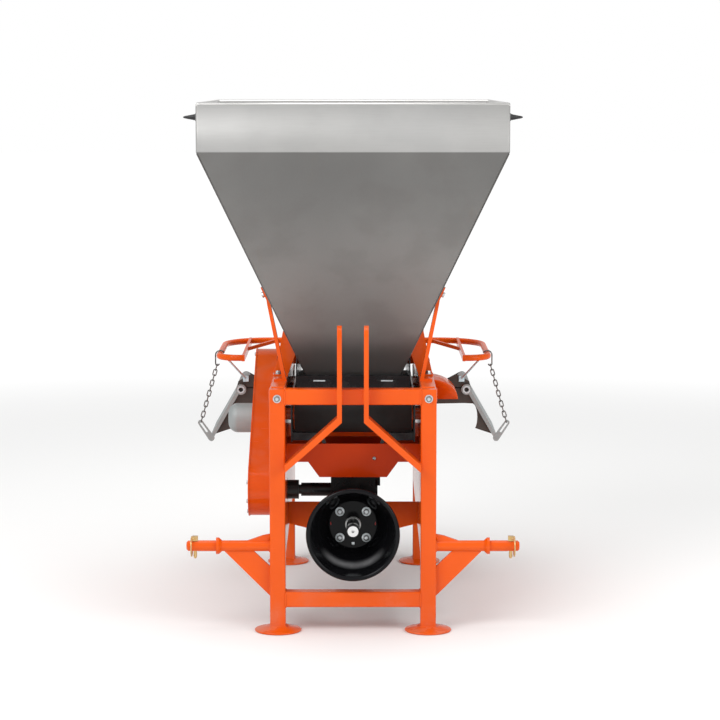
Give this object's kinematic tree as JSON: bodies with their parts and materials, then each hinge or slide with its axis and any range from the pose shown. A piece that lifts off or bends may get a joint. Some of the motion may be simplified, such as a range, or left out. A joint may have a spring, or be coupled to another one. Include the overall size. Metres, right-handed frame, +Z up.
{
  "type": "fertilizer spreader",
  "caption": "Tractor-mounted fertilizer spreader: stainless hopper over a belt conveyor on an orange tube frame, with a shaft-driven gearbox, a spinner disc and hinged side flaps.",
  "frame": {"origin": "middle of the outline on the ground under the feet", "axes": "+X to the right seen from the tractor, +Y to the rear, +Z up"},
  "size_m": [0.899, 1.229, 1.3523],
  "materials": {
    "orange_paint": "glossy orange paint",
    "black_paint": "glossy black paint",
    "stainless": "brushed stainless sheet",
    "dull_stainless": "duller stainless sheet with a brown tinge",
    "zinc": "bright zinc plating",
    "yellow_zinc": "yellow zinc plating",
    "machined_steel": "turned steel with a film of oil",
    "gear_bronze": "bronze gear rim",
    "belt_rubber": "smooth black belt rubber",
    "black_rubber": "moulded black rubber",
    "black_plastic": "glossy black plastic"
  },
  "bodies": {
    "frame": {"front_legs": "orange_paint", "rear_legs": "orange_paint", "feet": "orange_paint", "front_crossbars": "orange_paint", "rear_crossbar": "orange_paint", "side_rails": "orange_paint", "side_panels": "orange_paint", "mid_cross_plate": "orange_paint", "rear_cross_plate": "orange_paint", "gearbox_pan": "orange_paint", "mast_plates": "orange_paint", "hitch_pins": "orange_paint", "hitch_gussets": "orange_paint", "frame_bolts": "zinc", "hopper": "stainless", "tarp_hooks": "black_rubber", "hopper_struts": "orange_paint", "hopper_brackets": "orange_paint", "hopper_bolts": "zinc", "outlet_box": "black_paint", "conveyor_sides": "black_paint", "belt": "belt_rubber", "drum_bearings": "black_paint", "gearbox_housing": "black_paint", "gearbox_cap": "black_paint", "gearbox_bearings": "machined_steel", "cross_shaft_tube": "black_paint", "guard_cup": "black_plastic", "guard_cup_bolts": "zinc", "chain_case": "orange_paint", "chain_case_cover": "orange_paint", "case_screws": "zinc", "drive_chain": "machined_steel", "tensioner_cap": "stainless", "shaft_end_guard": "orange_paint", "chute": "dull_stainless", "spinner_gearbox": "black_paint", "hood_wings": "dull_stainless", "guard_frame": "orange_paint", "hinge_tubes": "zinc"},
    "input_drive": {"input_shaft": "machined_steel", "worm": "machined_steel", "bevel_pinion": "machined_steel"},
    "cross_drive": {"worm_wheel": "gear_bronze", "cross_shaft": "black_paint", "small_sprocket": "machined_steel"},
    "rear_drum_body": {"rear_drum": "machined_steel", "large_sprocket": "machined_steel"},
    "front_drum_body": {"front_drum": "machined_steel"},
    "spinner": {"spinner_shaft": "machined_steel", "spinner_disc": "dull_stainless"},
    "gate_body": {"gate": "dull_stainless"},
    "left_flap_body": {"left_flap": "stainless"},
    "right_flap_body": {"right_flap": "stainless"},
    "left_chain_body": {"left_chain": "zinc"},
    "right_chain_body": {"right_chain": "zinc"},
    "left_linchpin_body": {"left_linchpin": "yellow_zinc"},
    "right_linchpin_body": {"right_linchpin": "yellow_zinc"},
    "left_ring_body": {"left_linchpin_ring": "yellow_zinc"},
    "right_ring_body": {"right_linchpin_ring": "yellow_zinc"}
  },
  "joints": [
    {"name": "input_spin", "type": "hinge", "parent": "frame", "child": "input_drive", "pos_m": [0, -0.4495, 0.2575], "axis": [0, -1, 0], "continuous": true},
    {"name": "cross_spin", "type": "hinge", "parent": "frame", "child": "cross_drive", "pos_m": [0, -0.3745, 0.337], "axis": [-1, 0, 0], "continuous": true},
    {"name": "rear_drum_spin", "type": "hinge", "parent": "frame", "child": "rear_drum_body", "pos_m": [0, 0.1255, 0.545], "axis": [-1, 0, 0], "continuous": true},
    {"name": "front_drum_spin", "type": "hinge", "parent": "frame", "child": "front_drum_body", "pos_m": [0, -0.4275, 0.545], "axis": [-1, 0, 0], "continuous": true},
    {"name": "spinner_spin", "type": "hinge", "parent": "frame", "child": "spinner", "pos_m": [0, 0.4255, 0.44], "axis": [0, 0, 1], "continuous": true},
    {"name": "gate_lift", "type": "slide", "parent": "frame", "child": "gate_body", "axis": [0, 0, 1], "range_m": [0, 0.045]},
    {"name": "left_flap_lift", "type": "hinge", "parent": "frame", "child": "left_flap_body", "pos_m": [-0.325, 0.2455, 0.523], "axis": [0, 1, 0], "range_deg": [0, 35]},
    {"name": "left_chain_swing", "type": "hinge", "parent": "left_flap_body", "child": "left_chain_body", "pos_m": [-0.44128, 0.233, 0.42612], "axis": [0, 1, 0], "range_deg": [-35.5, 0]},
    {"name": "left_linchpin_pull", "type": "slide", "parent": "frame", "child": "left_linchpin_body", "axis": [0, 0, 1], "range_m": [0, 0.06]},
    {"name": "left_ring_swing", "type": "hinge", "parent": "left_linchpin_body", "child": "left_ring_body", "pos_m": [-0.405, -0.5545, 0.2405], "axis": [0, 1, 0], "range_deg": [0, 95]},
    {"name": "right_flap_lift", "type": "hinge", "parent": "frame", "child": "right_flap_body", "pos_m": [0.325, 0.2455, 0.523], "axis": [0, -1, 0], "range_deg": [0, 35]},
    {"name": "right_chain_swing", "type": "hinge", "parent": "right_flap_body", "child": "right_chain_body", "pos_m": [0.44128, 0.233, 0.42612], "axis": [0, -1, 0], "range_deg": [-35.5, 0]},
    {"name": "right_linchpin_pull", "type": "slide", "parent": "frame", "child": "right_linchpin_body", "axis": [0, 0, 1], "range_m": [0, 0.06]},
    {"name": "right_ring_swing", "type": "hinge", "parent": "right_linchpin_body", "child": "right_ring_body", "pos_m": [0.405, -0.5545, 0.2405], "axis": [0, -1, 0], "range_deg": [0, 95]}
  ],
  "couplings": [
    {"joint": "cross_spin", "follows": "input_spin", "ratio": 0.2},
    {"joint": "rear_drum_spin", "follows": "input_spin", "ratio": 0.08079},
    {"joint": "front_drum_spin", "follows": "input_spin", "ratio": 0.08079},
    {"joint": "spinner_spin", "follows": "input_spin", "ratio": 1},
    {"joint": "left_chain_swing", "follows": "left_flap_lift", "ratio": -1},
    {"joint": "left_ring_swing", "follows": "left_linchpin_pull", "rad_per_m": 27.6},
    {"joint": "right_chain_swing", "follows": "right_flap_lift", "ratio": -1},
    {"joint": "right_ring_swing", "follows": "right_linchpin_pull", "rad_per_m": 27.6}
  ]
}
